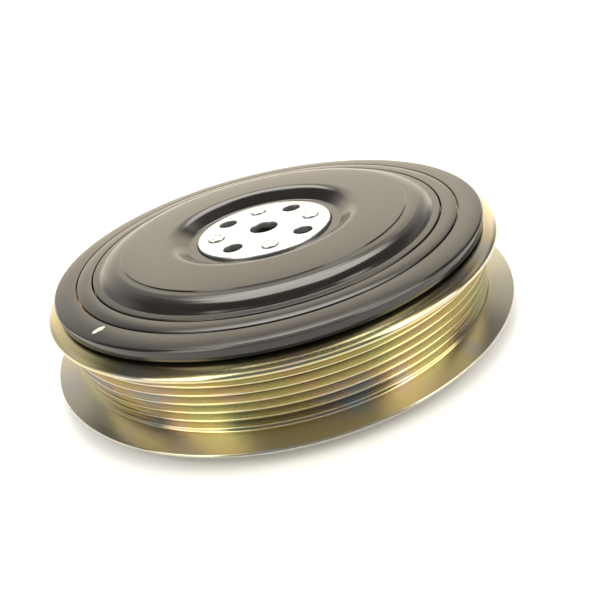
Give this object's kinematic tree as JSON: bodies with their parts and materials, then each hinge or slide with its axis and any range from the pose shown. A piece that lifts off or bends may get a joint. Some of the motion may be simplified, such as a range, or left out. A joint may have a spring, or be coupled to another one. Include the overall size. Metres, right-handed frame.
{
  "type": "electromagnetic pulley clutch",
  "caption": "Flat round electromagnetic clutch: a grooved belt pulley around a fixed coil, with a black domed drive disc and a bolted hub in front.",
  "frame": {"origin": "centre of the stator's rear mounting face, on the axis of rotation", "axes": "+Z along the axis of rotation, from the mounting face towards the hub; +Y towards the connector socket"},
  "size_m": [0.2068, 0.2068, 0.0465],
  "materials": {
    "black_coat": "satin black electro-coat",
    "yellow_zinc": "yellow passivated zinc, turned",
    "white_zinc": "clear passivated zinc",
    "bare_steel": "machined, oiled",
    "dark_steel": "machined low-carbon iron",
    "bearing_steel": "ground and polished",
    "copper": "enamelled copper wire",
    "bronze": "dull brass",
    "spring_steel": "tempered spring strip",
    "rubber": "moulded black rubber",
    "nylon": "glass-filled nylon",
    "resin": "cast epoxy",
    "lining": "pressed friction material"
  },
  "bodies": {
    "stator": {"stator_plate": "white_zinc", "bearing_carrier": "bare_steel", "coil_housing": "black_coat", "coil_bobbin": "nylon", "coil_winding": "copper", "coil_potting": "resin", "connector_socket": "nylon", "terminal_pin_left": "bronze", "terminal_pin_right": "bronze", "lead_grommet": "rubber", "bearing_inner_ring": "bearing_steel", "inner_circlip": "spring_steel", "coil_rivet_1": "bare_steel", "coil_rivet_2": "bare_steel", "coil_rivet_3": "bare_steel", "coil_rivet_4": "bare_steel"},
    "rotor": {"pulley_rim": "yellow_zinc", "rotor_body": "dark_steel", "friction_lining": "lining", "bearing_outer_ring": "bearing_steel", "outer_circlip": "spring_steel", "front_seal": "rubber", "rear_seal": "rubber"},
    "ball_set": {"ball_cage": "bronze", "ball_01": "bearing_steel", "ball_02": "bearing_steel", "ball_03": "bearing_steel", "ball_04": "bearing_steel", "ball_05": "bearing_steel", "ball_06": "bearing_steel", "ball_07": "bearing_steel", "ball_08": "bearing_steel", "ball_09": "bearing_steel", "ball_10": "bearing_steel", "ball_11": "bearing_steel", "ball_12": "bearing_steel"},
    "hub": {"hub_plate": "white_zinc", "drive_dish": "black_coat", "spring_plate": "spring_steel", "hub_flange": "bare_steel", "hub_rivet_1": "white_zinc", "hub_rivet_2": "white_zinc", "hub_rivet_3": "white_zinc", "hub_rivet_4": "white_zinc", "stop_pad_1": "rubber", "stop_pad_2": "rubber", "stop_pad_3": "rubber"},
    "armature": {"armature_outer_ring": "black_coat", "flux_barrier_ring": "bronze", "armature_inner_ring": "black_coat", "spring_rivet_1": "bare_steel", "spring_rivet_2": "bare_steel", "spring_rivet_3": "bare_steel"}
  },
  "joints": [
    {"name": "rotor_spin", "type": "hinge", "parent": "stator", "child": "rotor", "pos_m": [0, 0, 0.0222], "axis": [0, 0, 1], "continuous": true},
    {"name": "ball_set_spin", "type": "hinge", "parent": "stator", "child": "ball_set", "pos_m": [0, 0, 0.0222], "axis": [0, 0, 1], "continuous": true},
    {"name": "hub_spin", "type": "hinge", "parent": "stator", "child": "hub", "pos_m": [0, 0, 0.036], "axis": [0, 0, 1], "continuous": true},
    {"name": "armature_slide", "type": "slide", "parent": "hub", "child": "armature", "axis": [0, 0, -1], "range_m": [0, 0.0005], "stiffness_N_per_m": 40000, "springref_m": -0.0004, "deforming": ["spring_plate"]}
  ],
  "couplings": [
    {"joint": "ball_set_spin", "follows": "rotor_spin", "ratio": 0.57}
  ]
}
